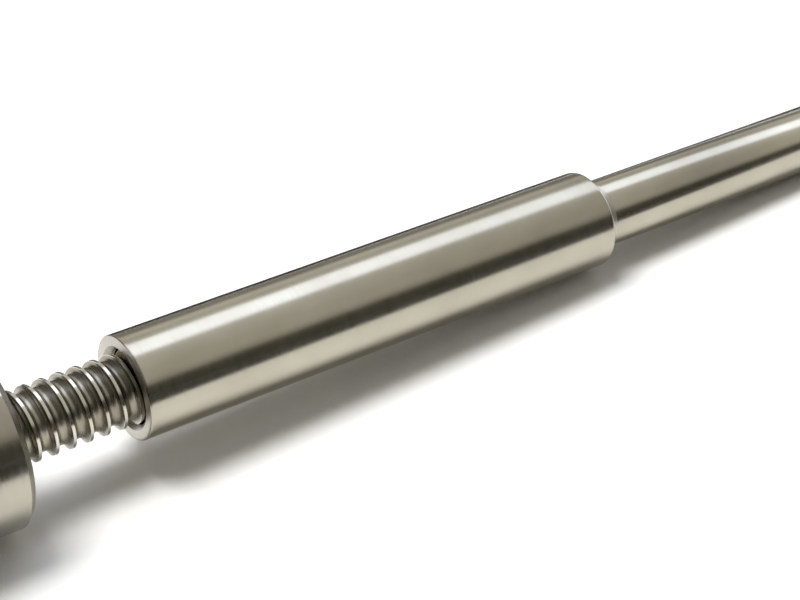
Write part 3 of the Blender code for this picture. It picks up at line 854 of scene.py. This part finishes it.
def make_grease_plug():
    """A slotted grub screw in the flange's grease port."""
    low, high = span("grease_port_plug")
    x = (low.x + high.x) / 2.0
    radius = (high.x - low.x) / 2.0
    plug = cylinder("grease_plug", radius, (x, 0.0, low.z), (x, 0.0, high.z), 64)
    slot_low = (x - 2.0 * radius, -PLUG_SLOT_HALF_WIDTH, high.z - PLUG_SLOT_DEPTH)
    slot_high = (x + 2.0 * radius, PLUG_SLOT_HALF_WIDTH, high.z + PAST)
    cut(plug, block("slot", slot_low, slot_high))
    plug.data.materials.append(MATERIALS["black"])
    soften(plug, 0.12)
    piece(plug, NUT, "black", "grease_port_plug")


# ---------------------------------------------------------------- support bearing


def race(land_r, outward):
    """A raceway's arc between two lands, from left to right."""
    half = math.acos(abs(land_r - BEARING_PITCH_R) / RACE_R)
    points = []
    for i in range(13):
        angle = half * (i / 6.0 - 1.0)
        reach = outward * RACE_R * math.cos(angle)
        points.append((RACE_R * math.sin(angle), BEARING_PITCH_R + reach))
    return points


def make_outer_ring():
    _, high = span("bearing_outer_ring")
    half, outer = high.x, high.y
    recess = half - SHIELD_RECESS
    chamfer = [(0.0, 0.32), (0.05, 0.18), (0.18, 0.05), (0.32, 0.0)]
    profile = [
        *[(half - dx, outer - dr) for dx, dr in chamfer],
        *[(dx - half, outer - dr) for dx, dr in chamfer[::-1]],
        (-half, SHIELD_SEAT_R + 0.1),
        (0.08 - half, SHIELD_SEAT_R),
        (-recess, SHIELD_SEAT_R),
        (-recess, OUTER_LAND_R),
        *race(OUTER_LAND_R, 1.0),
        (recess, OUTER_LAND_R),
        (recess, SHIELD_SEAT_R),
        (half - 0.08, SHIELD_SEAT_R),
        (half, SHIELD_SEAT_R + 0.1),
    ]
    ring = turned("outer_ring", profile, "bearing", 160)
    piece(ring, HOUSING, "bearing", "bearing_outer_ring")


def make_inner_ring():
    _, high = span("bearing_inner_ring")
    half = high.x
    profile = [
        (half, INNER_LAND_R - 0.08),
        (half - 0.08, INNER_LAND_R),
        *race(INNER_LAND_R, -1.0)[::-1],
        (0.08 - half, INNER_LAND_R),
        (-half, INNER_LAND_R - 0.08),
        (-half, BEARING_BORE_R + 0.25),
        (0.08 - half, BEARING_BORE_R + 0.08),
        (0.25 - half, BEARING_BORE_R),
        (half - 0.25, BEARING_BORE_R),
        (half - 0.08, BEARING_BORE_R + 0.08),
        (half, BEARING_BORE_R + 0.25),
    ]
    ring = turned("inner_ring", profile, "bearing")
    piece(ring, SCREW, "bearing", "bearing_inner_ring")


def make_shields():
    """Pressed rings, dished inwards between their rim and their bore."""
    for side, sign in (("left", -1.0), ("right", 1.0)):
        low, high = span(f"bearing_shield_{side}")
        out, back = (low.x, high.x) if sign < 0.0 else (high.x, low.x)
        step = sign * SHIELD_STEP
        profile = [
            (out, high.y - 0.1),
            (out - step, high.y),
            (back, high.y),
            (back, SHIELD_DISH_R + 0.1),
            (back - step, SHIELD_DISH_R - 0.05),
            (back - step, SHIELD_BORE_R),
            (out - 1.6 * step, SHIELD_BORE_R),
            (out - 1.6 * step, SHIELD_DISH_R - 0.15),
            (out - 0.9 * step, SHIELD_DISH_R),
            (out - 0.9 * step, SHIELD_RIM_R - 0.1),
            (out, SHIELD_RIM_R),
        ]
        shield = turned(f"shield_{side}", profile, "shield")
        piece(shield, HOUSING, "shield", f"bearing_shield_{side}")


def make_cage():
    low, high = span("bearing_cage")
    edge = 0.1
    profile = [
        (high.x, high.y - edge),
        (high.x - edge, high.y),
        (low.x + edge, high.y),
        (low.x, high.y - edge),
        (low.x, CAGE_BORE_R + edge),
        (low.x + edge, CAGE_BORE_R),
        (high.x - edge, CAGE_BORE_R),
        (high.x, CAGE_BORE_R + edge),
    ]
    cage = turned("cage", profile, None, 140)
    pockets = []
    for i in range(BEARING_BALLS):
        angle = TURN * i / BEARING_BALLS
        ends = [around(angle, radius, 0.0) for radius in CAGE_POCKET_SPAN]
        pockets.append(cylinder("pocket", CAGE_POCKET_R, *ends))
    cut(cage, *pockets)
    cage.data.materials.append(MATERIALS["brass"])
    soften(cage, 0.05, 1)
    piece(cage, CAGE, "brass", "bearing_cage")


def make_collar():
    low, high = span("bearing_collar")
    radius = high.y
    profile = [
        (high.x, radius - 0.4),
        (high.x - 0.1, radius - 0.3),
        (high.x - 0.35, radius - 0.05),
        (high.x - 0.45, radius),
        (low.x + 0.2, radius),
        (low.x, radius - 0.2),
        (low.x, BEARING_BORE_R + 0.25),
        (low.x + 0.25, BEARING_BORE_R),
        (high.x - 0.25, BEARING_BORE_R),
        (high.x, BEARING_BORE_R + 0.25),
    ]
    collar = turned("collar", profile, "ground")
    piece(collar, SCREW, "ground", "bearing_collar")


def make_lock_nut():
    """A round nut with wrench slots, and the grub screw in its radial hole."""
    low, high = span("lock_nut")
    radius = high.y
    middle = (low.x + high.x) / 2.0
    profile = [
        (high.x, LOCK_RECESS_R - 0.15),
        (high.x - 0.25, LOCK_RECESS_R),
        (high.x - 0.25, radius - 0.45),
        (high.x - 0.7, radius),
        (low.x + 0.6, radius),
        (low.x, radius - 0.6),
        (low.x, BEARING_BORE_R + 0.5),
        (low.x + 0.45, BEARING_BORE_R),
        (high.x - 0.4, BEARING_BORE_R),
        (high.x, BEARING_BORE_R + 0.4),
    ]
    nut = turned("round_nut", profile)
    cutters = []
    slot_low = (low.x - PAST, -LOCK_SLOT_HALF_WIDTH, radius - LOCK_SLOT_DEPTH)
    slot_high = (high.x + PAST, LOCK_SLOT_HALF_WIDTH, radius + PAST)
    for i in range(LOCK_SLOTS):
        slot = block("slot", slot_low, slot_high)
        slot.data.transform(Matrix.Rotation(TURN * i / LOCK_SLOTS, 4, "X"))
        cutters.append(slot)
    hole_ends = [around(GRUB_ANGLE, reach, middle) for reach in (GRUB_HOLE_FOOT, radius + PAST)]
    cutters.append(cylinder("hole", GRUB_HOLE_R, *hole_ends))
    cut(nut, *cutters)
    nut.data.materials.append(MATERIALS["black"])
    soften(nut, 0.1)
    piece(nut, SCREW, "black", "lock_nut")

    grub_ends = [around(GRUB_ANGLE, reach, middle) for reach in (GRUB_FOOT, GRUB_HEAD)]
    grub = cylinder("grub_screw", GRUB_R, *grub_ends, 64)
    socket_ends = [around(GRUB_ANGLE, reach, middle) for reach in (GRUB_HEAD - 1.0, GRUB_HEAD + 1.0)]
    cut(grub, cylinder("socket", GRUB_SOCKET_R, *socket_ends, 6))
    grub.data.materials.append(MATERIALS["spring"])
    soften(grub, 0.1)
    piece(grub, SCREW, "spring", "lock_nut_grub_screw")


# ---------------------------------------------------------------- studio


# Brightness of the surroundings round the screw's axis, in degrees from +Y through
# straight up to -Y: a dark wall behind, strip lights over it, and a dim room in front
SKY = [
    (-180.0, 0.40),
    (-2.0, 0.65),
    (0.0, 0.30),
    (21.0, 0.32),
    (25.0, 0.80),
    (36.0, 0.85),
    (40.0, 0.62),
    (52.0, 0.75),
    (57.0, 2.2),
    (84.0, 2.3),
    (90.0, 0.80),
    (125.0, 0.64),
    (143.0, 0.62),
    (151.0, 0.46),
    (158.0, 0.09),
    (176.0, 0.07),
    (180.0, 0.12),
]

# Tint of the dim and of the bright surroundings, channel by channel
SKY_TINT = ((1.0, 0.93), (0.95, 1.0), (0.78, 1.16))

# Share of that brightness along the screw's axis, from its left end to its right end
ALONG = [
    (-1.0, 0.2),
    (0.0, 0.3),
    (0.2, 1.0),
    (0.46, 1.0),
    (0.58, 0.82),
    (0.7, 0.75),
    (0.8, 1.1),
    (1.0, 1.2),
]

# The table's side, how far below the part it lies in mm, and its tones
TABLE_SIZE = 1.6
TABLE_GAP = 0.05
TABLE_DARK = (0.87, 0.87, 0.86)
TABLE_LIGHT = (0.89, 0.89, 0.88)

# Dark cards, seen only in the steel's reflections, where they paint dark reflections: corners in mm on the
# table, along it, across it and up
CARDS = {
    "front_card": ((-400.0, -600.0, 0.5), (500.0, -42.0, 1.0)),
    "back_card": ((36.0, 18.0, 0.5), (185.0, 300.0, 1.0)),
}
# Colour of the painted dark reflections
DARK_REFLECTION_COLOUR = (0.02, 0.019, 0.016)

# Square soft lights: degrees round the axis from +Y, power in watts, colour
LIGHTS = {
    "key": (82.0, 8.5, (1.0, 0.985, 0.95)),
    "fill": (62.0, 0.7, (1.0, 0.9, 0.76)),
}
LIGHT_SIZE = 0.4
LIGHT_DISTANCE = 0.9
LIGHT_LEFT = 0.25
LIGHT_AIM = Vector((0.1, 0.0, 0.0))

# The camera's direction, its place from the middle of the sleeve's left face, and its lens
CAMERA_FORWARD = Vector((0.48767, 0.69415, -0.52943))
CAMERA_PLACE = Vector((-0.07477, -0.15791, 0.11865))
CAMERA_LENS_MM = 87.7


def colour_ramp(tree, value, stops):
    """The colour at a value among stops of (place from 0 to 1, colour)."""
    ramp = node(tree, "ShaderNodeValToRGB")
    link(tree, value, ramp.inputs["Fac"])
    elements = ramp.color_ramp.elements
    while len(elements) < len(stops):
        elements.new(0.5)
    for element, (place, colour) in zip(elements, stops):
        element.position = place
        element.color = (*colour, 1.0)
    return ramp.outputs["Color"]


def sky_colour(share):
    """The tint of surroundings at a share of the brightest, times that share."""
    return [share * (dim + (bright - dim) * share) for dim, bright in SKY_TINT]


def make_world():
    """Surroundings that vary round the screw's axis and along it, for the steel to reflect."""
    world = bpy.data.worlds.new("studio")
    bpy.context.scene.world = world
    world.use_nodes = True
    tree = world.node_tree
    background = tree.nodes["Background"]
    place = node(tree, "ShaderNodeTexCoord")
    parts = node(tree, "ShaderNodeSeparateXYZ")
    link(tree, place.outputs["Generated"], parts.inputs["Vector"])
    angle = node(tree, "ShaderNodeMath", operation="ARCTAN2")
    link(tree, parts.outputs["Z"], angle.inputs[0])
    link(tree, parts.outputs["Y"], angle.inputs[1])

    brightest = max(level for _, level in SKY)
    round_stops = [((degrees + 180.0) / 360.0, sky_colour(level / brightest)) for degrees, level in SKY]
    along_stops = [((x + 1.0) / 2.0, (level, level, level)) for x, level in ALONG]
    round_share = spread(tree, angle.outputs["Value"], -math.pi, math.pi, 0.0, 1.0)
    along_share = spread(tree, parts.outputs["X"], -1.0, 1.0, 0.0, 1.0)

    product = node(tree, "ShaderNodeMix", data_type="RGBA", blend_type="MULTIPLY")
    product.inputs["Factor"].default_value = 1.0
    link(tree, colour_ramp(tree, round_share, round_stops), product.inputs[MIX_A])
    link(tree, colour_ramp(tree, along_share, along_stops), product.inputs[MIX_B])
    link(tree, product.outputs[MIX_RESULT], background.inputs["Color"])
    background.inputs["Strength"].default_value = brightest


def make_floor():
    """A plain pale table. The flange's lower edge and the rod's end rest on it."""
    flange_low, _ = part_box("nut_body")
    _, rod_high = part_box("screw_shaft")
    heel = Vector((flange_low.x + FLANGE_LENGTH * MM, 0.0, flange_low.z))
    toe = Vector((rod_high.x, 0.0, -rod_high.z))
    rise = (toe - heel).normalized()
    across = Vector((0.0, 1.0, 0.0))
    normal = rise.cross(across)
    bm = bmesh.new()
    bmesh.ops.create_grid(bm, x_segments=2, y_segments=2, size=TABLE_SIZE / 2.0)
    mesh = mesh_from(bm, "table")
    material, tree, shader = new_material("table", TABLE_LIGHT, 0.7, 0.0)
    speck = spread_noise(tree, noise(tree, (900.0, 900.0, 900.0)), 0.0, 1.0)
    tint(tree, shader, speck, TABLE_DARK, TABLE_LIGHT)
    mesh.materials.append(material)
    floor = new_object("table", mesh)
    turn = Matrix((rise, across, normal)).transposed().to_4x4()
    floor.matrix_world = Matrix.Translation(heel - normal * TABLE_GAP * MM) @ turn
    return floor


def make_cards(floor):
    """Dark cards on the table, in front and behind; only the steel's reflections see them, so they paint
    dark reflections where the steel would mirror the pale table and room.
    """
    material, _, _ = new_material("card", DARK_REFLECTION_COLOUR, 0.9, 0.0)
    for name, corners in CARDS.items():
        card = block(name, *corners)
        card.matrix_world = floor.matrix_world
        card.data.materials.append(material)
        card.visible_camera = False
        card.visible_diffuse = False
        card.visible_shadow = False


def make_lights():
    """A key almost straight above the axis and a weak fill behind it, both left of their aim."""
    for name, (degrees, power, colour) in LIGHTS.items():
        data = bpy.data.lights.new(name, "AREA")
        data.shape = "SQUARE"
        data.size = LIGHT_SIZE
        data.energy = power
        data.color = colour
        light = new_object(name, data)
        place = around(math.radians(degrees), LIGHT_DISTANCE, -LIGHT_LEFT)
        light.location = LIGHT_AIM + Vector(place)
        light.rotation_euler = (LIGHT_AIM - light.location).to_track_quat("-Z", "Y").to_euler()
        light.visible_glossy = False


def make_camera():
    data = bpy.data.cameras.new("camera")
    data.lens = CAMERA_LENS_MM
    data.sensor_width = 36.0
    data.clip_start = 0.01
    camera = new_object("camera", data)
    sleeve_face = Vector((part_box("journal_sleeve")[0].x, 0.0, 0.0))
    camera.location = sleeve_face + CAMERA_PLACE
    camera.rotation_euler = CAMERA_FORWARD.to_track_quat("-Z", "Y").to_euler()
    bpy.context.scene.camera = camera


make_camera()
make_shaft()
make_sleeve()
make_nut()
make_deflectors()
make_balls()
make_wipers()
make_circlips()
make_grease_plug()
make_outer_ring()
make_inner_ring()
make_shields()
make_cage()
make_collar()
make_lock_nut()
make_world()
make_cards(make_floor())
make_lights()
bpy.context.scene.view_settings.view_transform = "Standard"
